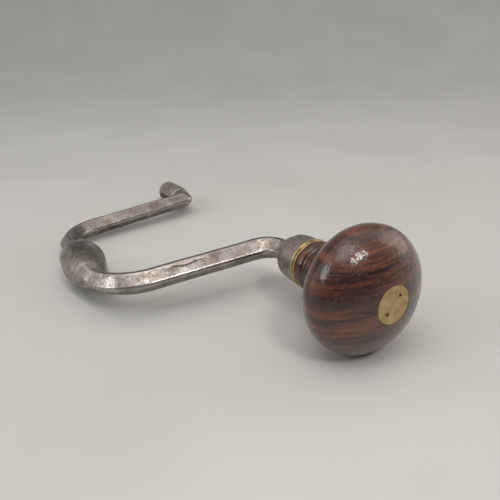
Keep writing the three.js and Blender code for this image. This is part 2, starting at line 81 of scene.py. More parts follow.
ORIGIN = Vector(named(frame["record"]["mounts"], "crown_face")["pos_m"])
AXIS_X = Vector(named(frame["joints"], "head_spin")["axis"]).normalized()
AXIS_Z = Vector(named(frame["joints"], "catch_press")["axis"]).normalized()
AXIS_Y = AXIS_Z.cross(AXIS_X)
TURN = Matrix((AXIS_X, AXIS_Y, AXIS_Z)).transposed()
TO_ROW = Matrix.Translation(ORIGIN) @ TURN.to_4x4() @ Matrix.Scale(MM, 4)
TO_BRACE = TO_ROW.inverted()


def extent(node, axis):
    """Lowest and highest coordinate of a CAD node along one of the brace's axes, in millimetres."""
    values = [(TO_BRACE @ vertex.co)[axis] for vertex in frame["nodes"][node].data.vertices]
    return min(values), max(values)


# -------- driving sizes, measured on the frame

WELL_GAP = 0.3
WELL_DROP = 2.1
HEAD_RADIUS = extent("rosewood_head", Y)[1]
NECK_END_X = extent("rosewood_head", X)[1]
COVER_RADIUS = extent("cover_disc", Y)[1]
COVER_THICKNESS = extent("cover_disc", X)[1]
FERRULE_START_X, FERRULE_END_X = extent("neck_ferrule", X)
FERRULE_RADIUS = extent("neck_ferrule", Y)[1]
WASHER_START_X, WASHER_END_X = extent("thrust_washer", X)
COLLAR_START_X, COLLAR_END_X = extent("neck_collar", X)
COLLAR_RADIUS = extent("neck_collar", Y)[1]
SOCKET_X, LENGTH = extent("chuck_socket", X)
SOCKET_RADIUS = extent("chuck_socket", Z)[1]
GRIP_RADIUS = extent("crank_frame", Z)[1]
THROW = extent("crank_frame", Y)[1] - GRIP_RADIUS
BUSH_START_X = extent("neck_bush", X)[0]
WELL_RADIUS = extent("crown_bush", Y)[1] + WELL_GAP
WELL_FLOOR_X = extent("crown_bush", X)[0] + WELL_DROP
SPINDLE_RADIUS = extent("head_spindle", Y)[1]
CATCH_LEVER_X = extent("catch_lever", X)
CATCH_LEVER_Y = extent("catch_lever", Y)
CATCH_WIDTH = 2 * extent("catch_lever", Z)[1]
PIVOT_X = sum(extent("catch_pivot_pin", X)) / 2
PIVOT_Y = sum(extent("catch_pivot_pin", Y)) / 2
PIVOT_RADIUS = extent("catch_pivot_pin", X)[1] - PIVOT_X
SPRING_X = extent("catch_spring", X)
SPRING_Y = extent("catch_spring", Y)
SCREW_X = sum(extent("spring_screw", X)) / 2
SCREW_Y = extent("spring_screw", Y)
SCREW_RADIUS = extent("spring_screw", Z)[1]

# Crank: corners as shares of the brace's length, then lengths and bends in millimetres.
NEAR_ELBOW_X = 0.358 * LENGTH
NEAR_BEND_X = 0.399 * LENGTH
GRIP_X = 0.6025 * LENGTH
FAR_BEND_X = 0.8265 * LENGTH
FAR_ELBOW_X = 0.86 * LENGTH
GRIP_NEAR_LENGTH = 44
GRIP_FAR_LENGTH = 27
NEAR_ELBOW_BEND = 16
NEAR_GRIP_BEND = 34
FAR_GRIP_BEND = 30

# -------- mesh helpers


def smooth_by_angle(mesh, degrees):
    """Smooth shading, with edges sharper than the angle kept crisp."""
    mesh.shade_smooth()
    mesh.set_sharp_from_angle(angle=math.radians(degrees))


def make_piece(name, vertices, faces, sharp=35, **marks):
    """A mesh object from points on the brace's axes. A mark is an attribute with a number per point."""
    mesh = bpy.data.meshes.new(name)
    mesh.from_pydata([TO_ROW @ Vector(point) for point in vertices], [], faces)
    mesh.update()
    for mark, values in marks.items():
        attribute = mesh.attributes.new(mark, "FLOAT", "POINT")
        attribute.data.foreach_set("value", values)
    shape = bmesh.new()
    shape.from_mesh(mesh)
    bmesh.ops.recalc_face_normals(shape, faces=shape.faces)
    shape.to_mesh(mesh)
    shape.free()
    smooth_by_angle(mesh, sharp)
    piece = bpy.data.objects.new(name, mesh)
    bpy.context.scene.collection.objects.link(piece)
    return piece


def finish_piece(piece, body, slot, material, *nodes):
    """Gives a piece its finish, its body and the CAD nodes that it stands for. The slot argument is not used."""
    piece.data.materials.clear()
    piece.data.materials.append(material)
    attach(piece, body)
    if nodes:
        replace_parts(piece, *nodes)
    return piece


def settled(piece, sharp=35):
    """Applies a piece's modifiers to its mesh."""
    bpy.context.view_layer.update()
    evaluated = piece.evaluated_get(bpy.context.evaluated_depsgraph_get())
    mesh = bpy.data.meshes.new_from_object(evaluated)
    piece.modifiers.clear()
    piece.data = mesh
    smooth_by_angle(mesh, sharp)
    return piece


def carve(piece, *tools):
    """Cuts the tools out of a piece and removes them."""
    for tool in tools:
        cutter = piece.modifiers.new("cut", "BOOLEAN")
        cutter.operation = "DIFFERENCE"
        cutter.solver = "EXACT"
        cutter.object = tool
    settled(piece)
    for tool in tools:
        bpy.data.objects.remove(tool)
    return piece


def bevelled(piece, width, segments=2, degrees=30):
    """Eases every edge sharper than the given angle. width is in millimetres."""
    bevel = piece.modifiers.new("ease", "BEVEL")
    bevel.width = width * MM
    bevel.segments = segments
    bevel.limit_method = "ANGLE"
    bevel.angle_limit = math.radians(degrees)
    bevel.use_clamp_overlap = True
    return settled(piece)


def lofted(rings, closed=False):
    """Vertices and faces of a skin over rings of points. A ring of one point is a tip."""
    vertices, indices, faces = [], [], []
    count = max(len(ring) for ring in rings)
    for ring in rings:
        start = len(vertices)
        vertices.extend(ring)
        indices.append([start] * count if len(ring) == 1 else list(range(start, start + count)))
    following = indices[1:] + indices[:1] if closed else indices[1:]
    for ring, upper in zip(indices, following):
        for index in range(count):
            after = (index + 1) % count
            corners = dict.fromkeys((ring[index], ring[after], upper[after], upper[index]))
            if len(corners) > 2:
                faces.append(list(corners))
    return vertices, faces


def turned(outline, segments=160, relief=None):
    """Turns an outline of (x, radius) about the X axis. relief(point) moves a point outwards."""
    rings = []
    for x, radius in outline:
        if radius < ON_AXIS:
            rings.append([Vector((x, 0, 0))])
            continue
        ring = []
        for step in range(segments):
            angle = 2 * math.pi * step / segments
            outward = Vector((0, math.cos(angle), math.sin(angle)))
            point = Vector((x, 0, 0)) + outward * radius
            if relief:
                point += outward * relief(point)
            ring.append(point)
        rings.append(ring)
    on_axis = outline[0][1] < ON_AXIS and outline[-1][1] < ON_AXIS
    return lofted(rings, closed=not on_axis)


def arc(centre, radii, start, end, count):
    """Points on an ellipse from one angle to another, in degrees."""
    points = []
    for step in range(count + 1):
        angle = math.radians(start + (end - start) * step / count)
        points.append((centre[0] + radii[0] * math.cos(angle), centre[1] + radii[1] * math.sin(angle)))
    return points


def straight(start, end, count):
    """Evenly spaced points between two points, the second left out."""
    return [
        tuple(a + (b - a) * step / count for a, b in zip(start, end))
        for step in range(count)
    ]


def quadratic(start, control, end, count):
    """Points on a curve between two points, pulled towards a third."""
    points = []
    for step in range(count + 1):
        t = step / count
        points.append(tuple(
            (1 - t) ** 2 * a + 2 * t * (1 - t) * b + t ** 2 * c
            for a, b, c in zip(start, control, end)
        ))
    return points


def ring_outline(start, end, bore, radius, ease):
    """Section of a plain ring, its two outer corners rounded."""
    outline = [(end, bore), (start, bore)]
    outline += arc((start + ease, radius - ease), (ease, ease), 180, 90, 5)
    outline += arc((end - ease, radius - ease), (ease, ease), 90, 0, 5)
    return outline


def extruded(outline, half_width):
    """A flat outline of (x, y) points made into a plate across Z."""
    count = len(outline)
    vertices = [Vector((x, y, side)) for side in (-half_width, half_width) for x, y in outline]
    faces = [list(range(count)), list(range(count, 2 * count))]
    for index in range(count):
        after = (index + 1) % count
        faces.append([index, after, count + after, count + index])
    return vertices, faces


def round_tool(name, start, end, radius, segments=48):
    """A round bar between two points, for cutting."""
    start, end = Vector(start), Vector(end)
    along = (end - start).normalized()
    side = along.orthogonal().normalized()
    other = along.cross(side)
    rings = []
    for place in (start, end):
        rings.append([place])
        ring = []
        for step in range(segments):
            angle = 2 * math.pi * step / segments
            ring.append(place + radius * (side * math.cos(angle) + other * math.sin(angle)))
        rings.append(ring)
    rings[2], rings[3] = rings[3], rings[2]
    return make_piece(name, *lofted(rings))


def box_tool(name, low, high):
    """A box between two corners, for cutting."""
    corners = [(low[X], low[Y]), (high[X], low[Y]), (high[X], high[Y]), (low[X], high[Y])]
    vertices, faces = extruded(corners, 1)
    for vertex in vertices:
        vertex.z = high[Z] if vertex.z > 0 else low[Z]
    return make_piece(name, vertices, faces)


# -------- materials


class Finish:
    """One material's nodes. Its patterns are laid out in millimetres on the brace's axes."""

    def __init__(self, name, **sockets):
        self.material = bpy.data.materials.new(name)
        self.material.use_nodes = True
        self.tree = self.material.node_tree
        self.shader = self.tree.nodes["Principled BSDF"]
        for socket, value in sockets.items():
            self.shader.inputs[socket.replace("_", " ")].default_value = value
        place = self.tree.nodes.new("ShaderNodeTexCoord")
        mapping = self.tree.nodes.new("ShaderNodeMapping")
        mapping.inputs["Scale"].default_value = (1 / MM,) * 3
        mapping.inputs["Rotation"].default_value = TURN.transposed().to_euler()
        mapping.inputs["Location"].default_value = TURN.transposed() @ (-ORIGIN / MM)
        self.link(place.outputs["Object"], mapping.inputs["Vector"])
        self.place = mapping.outputs["Vector"]

    def link(self, source, target):
        """Joins an output to an input."""
        self.tree.links.new(source, target)

    def feed(self, target, value):
        """Gives an input a link or a plain value."""
        if isinstance(value, bpy.types.NodeSocket):
            self.link(value, target)
        else:
            target.default_value = value

    def stretched(self, scale, rotation):
        """The pattern's place, drawn out by a scale and turned by angles in degrees."""
        node = self.tree.nodes.new("ShaderNodeMapping")
        node.inputs["Scale"].default_value = scale
        node.inputs["Rotation"].default_value = [math.radians(angle) for angle in rotation]
        self.link(self.place, node.inputs["Vector"])
        return node.outputs["Vector"]

    def noise(self, size, detail=3, roughness=0.55, vector=None, distortion=0):
        """Noise whose features are about size millimetres across."""
        node = self.tree.nodes.new("ShaderNodeTexNoise")
        node.inputs["Scale"].default_value = 1 / size
        node.inputs["Detail"].default_value = detail
        node.inputs["Roughness"].default_value = roughness
        node.inputs["Distortion"].default_value = distortion
        self.link(vector or self.place, node.inputs["Vector"])
        return node.outputs["Fac"]

    def cells(self, size):
        """Distance to the nearest of scattered points about size millimetres apart."""
        node = self.tree.nodes.new("ShaderNodeTexVoronoi")
        node.inputs["Scale"].default_value = 1 / size
        self.link(self.place, node.inputs["Vector"])
        return node.outputs["Distance"]

    def ramp(self, value, *stops):
        """stops are (position, colour) pairs, a colour being one grey number or three."""
        node = self.tree.nodes.new("ShaderNodeValToRGB")
        node.color_ramp.interpolation = "EASE"
        while len(node.color_ramp.elements) < len(stops):
            node.color_ramp.elements.new(0.5)
        for element, (position, colour) in zip(node.color_ramp.elements, stops):
            element.position = position
            shade = (colour,) * 3 if isinstance(colour, (int, float)) else colour
            element.color = (*shade, 1)
        self.feed(node.inputs["Fac"], value)
        return node.outputs["Color"]

    def mask(self, value, black, white):
        """0 to 1 as a value passes from black to white. White may be the lower of the two."""
        return self.ramp(value, *sorted([(black, 0.0), (white, 1.0)]))

    def mix(self, factor, first, second):
        """Passes from the first colour to the second as the factor rises."""
        node = self.tree.nodes.new("ShaderNodeMix")
        node.data_type = "RGBA"
        self.feed(node.inputs["Factor"], factor)
        colours = [s for s in node.inputs if s.type == "RGBA"]
        for socket, value in zip(colours, (first, second)):
            self.feed(socket, value if isinstance(value, bpy.types.NodeSocket) else (*value, 1))
        return next(s for s in node.outputs if s.type == "RGBA")

    def tint(self, colour, mask, strength, shade):
        """Brings a colour towards a shade where the mask is bright."""
        return self.mix(self.math("MULTIPLY", mask, strength), colour, shade)

    def math(self, operation, first, second):
        """One sum of two numbers."""
        node = self.tree.nodes.new("ShaderNodeMath")
        node.operation = operation
        self.feed(node.inputs[0], first)
        self.feed(node.inputs[1], second)
        return node.outputs[0]

    def plus(self, value, mask, amount):
        """A value with an amount added where the mask is bright."""
        return self.math("ADD", value, self.math("MULTIPLY", mask, amount))

    def scaled(self, value, low, high):
        """A 0 to 1 value spread between two numbers."""
        node = self.tree.nodes.new("ShaderNodeMapRange")
        node.inputs["To Min"].default_value = low
        node.inputs["To Max"].default_value = high
        self.feed(node.inputs["Value"], value)
        return node.outputs["Result"]

    def attribute(self, name):
        """A mark that the mesh carries."""
        node = self.tree.nodes.new("ShaderNodeAttribute")
        node.attribute_name = name
        return node.outputs["Fac"]

    def bump(self, height, depth, normal=None):
        """depth is the relief's height in millimetres."""
        node = self.tree.nodes.new("ShaderNodeBump")
        node.inputs["Distance"].default_value = depth * MM
        self.link(height, node.inputs["Height"])
        if normal:
            self.link(normal, node.inputs["Normal"])
        return node.outputs["Normal"]

    def dent(self, mask, depth, normal):
        """Relief that sinks where the mask is bright."""
        return self.bump(self.math("MULTIPLY", mask, -1.0), depth, normal)

    def set(self, **sockets):
        """Feeds the shader's own inputs."""
        for socket, value in sockets.items():
            self.feed(self.shader.inputs[socket.replace("_", " ")], value)


RUST_BROWN = (0.20, 0.13, 0.085)


def shaded(colour, share):
    """A colour made darker or lighter."""
    return [share * part for part in colour]


def steel(name, light, middle, dark, polish=0.3, pit_depth=0.1, worn=False):
    """Old forged steel: brown-grey patina in cloudy patches, fine pits, scratches and brighter wear."""
    finish = Finish(name, Metallic=1.0)
    patches = finish.noise(11, detail=6, roughness=0.62, distortion=0.4)
    speckle = finish.noise(0.45, detail=2, roughness=0.6)
    mottles = finish.mask(finish.noise(2.0, detail=6, roughness=0.78), 0.47, 0.6)
    pit_patches = finish.mask(finish.noise(7, detail=3), 0.46, 0.6)
    pits = finish.math("MULTIPLY", finish.mask(finish.cells(1.5), 0.3, 0.1), pit_patches)
    scratch_place = finish.stretched((0.05, 1.2, 1.2), (12, 25, 68))
    scratches = finish.mask(finish.noise(0.8, detail=2, vector=scratch_place), 0.6, 0.68)
    stains = finish.mask(finish.noise(4, detail=5, roughness=0.7), 0.56, 0.68)
    rust = finish.mask(finish.noise(9, detail=4, roughness=0.6), 0.52, 0.7)

    colour = finish.ramp(patches, (0.34, dark), (0.5, middle), (0.66, light))
    colour = finish.tint(colour, mottles, 0.62, dark)
    colour = finish.tint(colour, pits, 0.75, shaded(dark, 0.35))
    colour = finish.tint(colour, scratches, 0.35, light)
    colour = finish.tint(colour, stains, 0.8, dark)
    colour = finish.tint(colour, rust, 0.35, RUST_BROWN)
    roughness = finish.scaled(patches, polish + 0.16, polish - 0.04)
    roughness = finish.math("ADD", roughness, finish.scaled(speckle, -0.06, 0.1))
    roughness = finish.plus(roughness, pits, 0.3)
    roughness = finish.plus(roughness, stains, 0.14)
    roughness = finish.plus(roughness, mottles, 0.12)
    if worn:
        wear = finish.attribute("wear")
        grime = finish.attribute("grime")
        colour = finish.tint(colour, wear, 0.55, shaded(light, 1.25))
        # The second mark darkens towards near black: on the crank it follows the lap flaw's depth, grime in the
        # lap and painted shade in its hollow.
        colour = finish.tint(colour, grime, 0.85, shaded(dark, 0.3))
        roughness = finish.plus(roughness, grime, 0.25)
        roughness = finish.plus(roughness, wear, -0.08)

    normal = finish.bump(finish.noise(7, detail=2), 0.14)
    normal = finish.bump(finish.noise(2.2, detail=3), 0.05, normal)
    normal = finish.dent(pits, pit_depth, normal)
    normal = finish.bump(speckle, 0.022, normal)
    normal = finish.dent(scratches, 0.02, normal)
    finish.set(Base_Color=colour, Roughness=roughness, Normal=normal)
    return finish.material


def brass(name, light, middle, dark, polish):
    """Old brass, rubbed but dull, with tiny dark specks."""
    finish = Finish(name, Metallic=1.0)
    clouds = finish.noise(5, detail=5, roughness=0.6)
    sparse = finish.mask(finish.noise(3), 0.5, 0.58)
    specks = finish.math("MULTIPLY", finish.mask(finish.cells(1.3), 0.13, 0.05), sparse)
    rubbed_place = finish.stretched((1.2, 0.08, 1.2), (35, 0, 0))
    rubbed = finish.noise(0.7, detail=3, vector=rubbed_place)

    colour = finish.ramp(clouds, (0.32, dark), (0.5, middle), (0.68, light))
    colour = finish.tint(colour, specks, 0.85, shaded(dark, 0.12))
    roughness = finish.scaled(clouds, polish + 0.1, polish - 0.06)
    roughness = finish.math("ADD", roughness, finish.scaled(rubbed, -0.05, 0.07))
    normal = finish.bump(rubbed, 0.02)
    normal = finish.bump(finish.noise(3.5, detail=2), 0.05, normal)
    normal = finish.dent(specks, 0.08, normal)
    finish.set(Base_Color=colour, Roughness=roughness, Normal=normal)
    return finish.material


GRAIN_TILT = (4, -7, 0)


def rosewood(name):
    """Polished rosewood: dark growth bands lying across Z, fine pores, dents and scratches under varnish."""
    finish = Finish(name, Coat_Weight=0.8, Coat_Roughness=0.09, Coat_IOR=1.5, Specular_IOR_Level=0.3)
    sway = finish.stretched((0.016, 0.022, 0.2), GRAIN_TILT)
    bands = finish.noise(1.0, detail=5, roughness=0.55, vector=sway, distortion=0.25)
    fine_place = finish.stretched((0.03, 0.04, 0.9), GRAIN_TILT)
    fine = finish.noise(1.0, detail=4, roughness=0.6, vector=fine_place, distortion=0.15)
    grain = finish.plus(finish.math("MULTIPLY", bands, 0.62), fine, 0.38)
    pore_place = finish.stretched((0.14, 0.2, 2.2), GRAIN_TILT)
    pores = finish.mask(finish.noise(1.0, detail=2, vector=pore_place), 0.36, 0.27)
    scratch_place = finish.stretched((1.4, 0.045, 1.4), (52, 10, 22))
    scratches = finish.mask(finish.noise(1.0, detail=1, vector=scratch_place), 0.655, 0.7)
    cross_place = finish.stretched((1.3, 1.3, 0.05), (-38, 24, 0))
    crossing = finish.mask(finish.noise(1.0, detail=1, vector=cross_place), 0.67, 0.71)
    scratched = finish.math("MAXIMUM", scratches, crossing)

    colour = finish.ramp(
        grain,
        (0.36, (0.010, 0.004, 0.004)),
        (0.44, (0.034, 0.011, 0.008)),
        (0.5, (0.082, 0.024, 0.013)),
        (0.57, (0.15, 0.045, 0.020)),
        (0.66, (0.24, 0.082, 0.034)),
    )
    clouds = finish.ramp(finish.noise(16, detail=3), (0.4, 0.0), (0.62, 0.45))
    colour = finish.mix(clouds, colour, (0.045, 0.014, 0.011))
    colour = finish.tint(colour, pores, 0.6, (0.008, 0.003, 0.003))
    colour = finish.tint(colour, scratched, 0.3, (0.22, 0.12, 0.09))
    # Painted shade: the wood goes near black in the neck's groove and at the bead ends, where the head's mark is
    # bright.
    colour = finish.mix(finish.attribute("grime"), colour, (0.006, 0.004, 0.004))
    smudges = finish.noise(9, detail=4, roughness=0.65)
    roughness = finish.scaled(smudges, 0.2, 0.46)
    normal = finish.bump(finish.noise(9, detail=2), 0.5)
    normal = finish.bump(finish.noise(2.6, detail=3, roughness=0.6), 0.2, normal)
    normal = finish.dent(scratched, 0.04, normal)
    normal = finish.dent(pores, 0.02, normal)
    finish.set(Base_Color=colour, Roughness=roughness, Normal=normal, Coat_Normal=normal)
    return finish.material


CRANK_STEEL = steel(
    "forged_steel", (0.50, 0.46, 0.43), (0.32, 0.28, 0.255), (0.15, 0.125, 0.11), polish=0.22, worn=True)
COLLAR_STEEL = steel(
    "collar_steel", (0.56, 0.51, 0.46), (0.40, 0.35, 0.31), (0.24, 0.20, 0.18), polish=0.34)
SOCKET_STEEL = steel(
    "socket_steel", (0.54, 0.49, 0.45), (0.40, 0.35, 0.32), (0.22, 0.19, 0.17), polish=0.44)
# Painted shade: a near-black copy of the steel for the catch lever and its spring screw. Its darkness stands for
# the shade they sit in.
PAINTED_SHADE_STEEL = steel(
    "dark_steel", (0.14, 0.125, 0.115), (0.085, 0.075, 0.068), (0.05, 0.042, 0.036), polish=0.42)
TURNED_STEEL = steel(
    "turned_steel", (0.55, 0.53, 0.51), (0.42, 0.40, 0.38), (0.27, 0.25, 0.23), polish=0.26, pit_depth=0.03)
SPRING_STEEL = steel(
    "spring_steel", (0.30, 0.31, 0.34), (0.2, 0.21, 0.24), (0.12, 0.12, 0.13), polish=0.3, pit_depth=0.03)
FERRULE_BRASS = brass("aged_brass", (0.56, 0.41, 0.24), (0.44, 0.31, 0.17), (0.24, 0.16, 0.08), 0.36)
WASHER_BRASS = brass("washer_brass", (0.62, 0.50, 0.22), (0.50, 0.39, 0.15), (0.26, 0.19, 0.07), 0.3)
DISC_BRASS = brass("disc_brass", (0.60, 0.45, 0.24), (0.52, 0.38, 0.19), (0.42, 0.30, 0.14), 0.46)
ROSEWOOD = rosewood("rosewood")

# -------- head

CROWN_DEPTH = 23
BACK_DEPTH = 24
WIDEST_X = 22
RIDGE_X = 40.5
COVE_END_X = 55
NECK_RADIUS = 16.9
SMALL_BEAD_X = 56.8
SMALL_BEAD_HALF = 1.4
BEAD_X = 62.2
BEAD_HALF = 2.8
GROOVE_RADIUS = 15.3
GROOVE_FLOOR_RADIUS = GROOVE_RADIUS - 0.8
JOINT_GAP = 0.12
CROWN_RIM_X = 0.25
COVER_SEAT_X = COVER_THICKNESS + 0.2
HEAD_BORE_RADIUS = SPINDLE_RADIUS + 2.6
CROWN_BORE_RADIUS = HEAD_BORE_RADIUS - 1.8
BUSH_RECESS_X = BUSH_START_X - 0.3
FERRULE_SEAT_RADIUS = FERRULE_RADIUS - 2
COVER_HOLE_RADIUS = 1.05
COVER_HOLE_SPACING = COVER_RADIUS * 0.56
COVER_HOLE_TILT = math.radians(138)
HEAD_SEGMENTS = 224
WARP_SIZE = 14
WARP_DEPTH = 0.22
KNOCK_SIZE = 2.7
KNOCK_DEPTH = 0.7
KNOCK_LEVEL = 0.42


def head_outline():
    """The turned outside from the crown to the neck, then the bores back to the crown."""
    rim = COVER_RADIUS + JOINT_GAP
    crown_angle = math.degrees(math.asin(rim / HEAD_RADIUS))
    ridge_angle = math.degrees(math.acos((RIDGE_X - WIDEST_X) / BACK_DEPTH))
    ridge_radius = HEAD_RADIUS * math.sin(math.radians(ridge_angle))
    outline = [(COVER_SEAT_X, rim), (CROWN_RIM_X, rim)]
    outline += arc((WIDEST_X, 0), (CROWN_DEPTH, HEAD_RADIUS), 180 - crown_angle, 90, 56)
    outline += arc((WIDEST_X, 0), (BACK_DEPTH, HEAD_RADIUS), 90, ridge_angle + 1.2, 36)[1:]
    outline += arc((RIDGE_X - 0.25, ridge_radius - 0.75), (0.7, 0.8), 55, -25, 4)
    cove_start = (RIDGE_X + 0.5, ridge_radius - 1.8)
    outline += quadratic(cove_start, (RIDGE_X + 2.2, NECK_RADIUS + 0.9), (COVE_END_X, NECK_RADIUS), 16)
    outline += arc((SMALL_BEAD_X, NECK_RADIUS - 1), (SMALL_BEAD_HALF, 1.1), 172, 0, 12)
    outline += [(SMALL_BEAD_X + SMALL_BEAD_HALF + 0.1, GROOVE_FLOOR_RADIUS)]
    outline += arc((BEAD_X, GROOVE_RADIUS), (BEAD_HALF, 1.3), 180, 0, 18)
    outline += [
        (FERRULE_START_X - JOINT_GAP, GROOVE_RADIUS),
        (FERRULE_START_X - JOINT_GAP, FERRULE_SEAT_RADIUS),
        (NECK_END_X, FERRULE_SEAT_RADIUS),
        (NECK_END_X, HEAD_BORE_RADIUS),
        (BUSH_RECESS_X, HEAD_BORE_RADIUS),
        (WELL_FLOOR_X, CROWN_BORE_RADIUS),
        (WELL_FLOOR_X, WELL_RADIUS),
        (COVER_SEAT_X, WELL_RADIUS),
    ]
    return outline


def knocks(point):
    """Small dents and the unevenness of a hand-turned, long-used surface."""
    if point.x > FERRULE_START_X or math.hypot(point.y, point.z) < FERRULE_RADIUS - 1:
        return 0
    warp = noise.noise(point / WARP_SIZE) * WARP_DEPTH
    dents = noise.noise(point / KNOCK_SIZE + Vector((4, 1, 9)))
    return warp - max(0, dents - KNOCK_LEVEL) * KNOCK_DEPTH


def grime(point):
    """How much painted shade darkens the neck: most in the groove between the beads, some at each end of them."""
    groove = SMALL_BEAD_X + SMALL_BEAD_HALF
    depth = max(0, 1 - abs(point.x - groove - 0.4) / 1.7)
    depth += 0.7 * max(0, 1 - abs(point.x - COVE_END_X - 0.2) / 0.6)
    depth += 0.8 * max(0, 1 - abs(point.x - FERRULE_START_X) / 0.6)
    return min(1.0, depth)


def rosewood_head():
    """The ball and neck, turned from one piece of wood."""
    vertices, faces = turned(head_outline(), HEAD_SEGMENTS, knocks)
    # Painted shade on the neck: the groove and the joints at the ends of the beads are marked to be darkened.
    grime_and_painted_shade_values = [grime(point) for point in vertices]
    piece = make_piece("head_wood", vertices, faces, sharp=50, grime=grime_and_painted_shade_values)
    return finish_piece(piece, "head", "rosewood", ROSEWOOD, "rosewood_head")


def cover_disc():
    """Flat brass disc with an eased rim and two countersunk holes for a forked driver."""
    outline = [(COVER_THICKNESS, 0), (COVER_THICKNESS, COVER_RADIUS)]
    ease = 0.22
    outline += arc((ease, COVER_RADIUS - ease), (ease, ease), 90, 180, 4)
    outline += straight((0, COVER_RADIUS - 0.4), (0, 0), 12) + [(0, 0)]
    disc = make_piece("head_disc", *turned(outline[::-1], 128))
    tools = []
    for side in (-1, 1):
        outward = Vector((0, math.cos(COVER_HOLE_TILT), math.sin(COVER_HOLE_TILT)))
        place = outward * COVER_HOLE_SPACING * side
        ends = place + Vector((-1, 0, 0)), place + Vector((4, 0, 0))
        tools.append(round_tool("hole", *ends, COVER_HOLE_RADIUS))
    carve(disc, *tools)
    bevelled(disc, 0.12, 2, 50)
    return finish_piece(disc, "head", "disc_brass", DISC_BRASS, "cover_disc")


def neck_ferrule():
    """Brass band on the end of the neck."""
    outline = ring_outline(FERRULE_START_X, FERRULE_END_X, FERRULE_RADIUS - 1.6, FERRULE_RADIUS, 0.75)
    piece = make_piece("neck_band", *turned(outline))
    return finish_piece(piece, "head", "aged_brass", FERRULE_BRASS, "neck_ferrule")


def thrust_washer():
    """Thin brass washer between the turning head and the collar."""
    outline = ring_outline(WASHER_START_X, WASHER_END_X, SPINDLE_RADIUS + 0.3, FERRULE_RADIUS, 0.5)
    piece = make_piece("brass_washer", *turned(outline))
    return finish_piece(piece, "frame", "washer_brass", WASHER_BRASS, "thrust_washer")


# -------- collar

COLLAR_SHOULDER_X = 78
COLLAR_END_RADIUS = 8.6
COLLAR_EDGE = 0.6
COLLAR_SEGMENTS = 144
COLLAR_SHARPNESS = 14
COLLAR_LIP = 2.8
COLLAR_BORE_RADIUS = 4.9
COLLAR_BORE_DEPTH = 6
COLLAR_FLOOR = 10.5
FACETS_FADE_IN = 12
FACETS_START_X = COLLAR_SHOULDER_X - 4
FACET_MEAN = 1.03
FACET_DEPTH = 0.9
HAMMERING_SIZE = 9
HAMMERING_DEPTH = 0.12


def octagon_share(angle, sharpness, distances):
    """Distance to a rounded eight-sided outline at an angle, and how near the angle is to a corner."""
    terms = []
    for face, distance in enumerate(distances):
        facing = math.cos(angle - face * math.pi / 4)
        if facing > 0:
            terms.append((facing / distance) ** sharpness)
    terms.sort()
    corner = (terms[-2] / terms[-1]) ** 0.5
    return sum(terms) ** (-1 / sharpness), corner


def collar_outline(root):
    """The bell's outside from its base to its lip, then the hollows back along the axis."""
    edge = COLLAR_EDGE
    reach = COLLAR_END_X - COLLAR_LIP - COLLAR_SHOULDER_X
    drop = COLLAR_RADIUS - COLLAR_END_RADIUS
    outline = [(COLLAR_START_X, root), (COLLAR_START_X, COLLAR_RADIUS - edge)]
    outline += arc((COLLAR_START_X + edge, COLLAR_RADIUS - edge), (edge, edge), 180, 90, 4)[1:]
    outline += straight((COLLAR_START_X + 2 * edge, COLLAR_RADIUS), (COLLAR_SHOULDER_X, COLLAR_RADIUS), 8)
    outline += arc((COLLAR_SHOULDER_X, COLLAR_END_RADIUS), (reach, drop), 90, 6, 26)
    outline += [(COLLAR_END_X - 2.5, COLLAR_END_RADIUS - 0.3)]
    outline += arc((COLLAR_END_X - 1.2, COLLAR_END_RADIUS - 0.5), (1.1, 0.75), 160, -10, 10)
    outline += [
        (COLLAR_END_X, COLLAR_BORE_RADIUS),
        (COLLAR_END_X - COLLAR_BORE_DEPTH, COLLAR_BORE_RADIUS),
        (COLLAR_END_X - COLLAR_BORE_DEPTH, 0),
        (COLLAR_END_X - COLLAR_FLOOR, 0),
        (COLLAR_END_X - COLLAR_FLOOR, root),
    ]
    return outline


def collar_ring(x, radius, outside):
    """One ring of the bell: round at the base, faintly eight-sided towards the lip."""
    if radius < ON_AXIS:
        return [Vector((x, 0, 0))]
    facets = min(1, max(0, (x - FACETS_START_X) / FACETS_FADE_IN)) if outside else 0
    ring = []
    for step in range(COLLAR_SEGMENTS):
        angle = 2 * math.pi * step / COLLAR_SEGMENTS
        share, _ = octagon_share(angle, COLLAR_SHARPNESS, [1] * 8)
        reach = radius * (1 + facets * (share / FACET_MEAN - 1) * FACET_DEPTH)
        point = Vector((x, reach * math.cos(angle), reach * math.sin(angle)))
        hammered = noise.noise(point / HAMMERING_SIZE) * HAMMERING_DEPTH if outside else 0
        ring.append(point + Vector((0, point.y, point.z)).normalized() * hammered)
    return ring


def neck_collar():
    """Bell that runs from a round base to a faintly eight-sided lip where the crank comes out."""
    root = SPINDLE_RADIUS - 1.1
    rings = [collar_ring(x, radius, radius > root + 1) for x, radius in collar_outline(root)]
    half = next(index for index, ring in enumerate(rings) if len(ring) == 1)
    rings = rings[half + 1:] + rings[:half + 1]
    piece = make_piece("collar_bell", *lofted(rings), sharp=40)
    return finish_piece(piece, "frame", "turned_steel", COLLAR_STEEL, "neck_collar")


# -------- crank

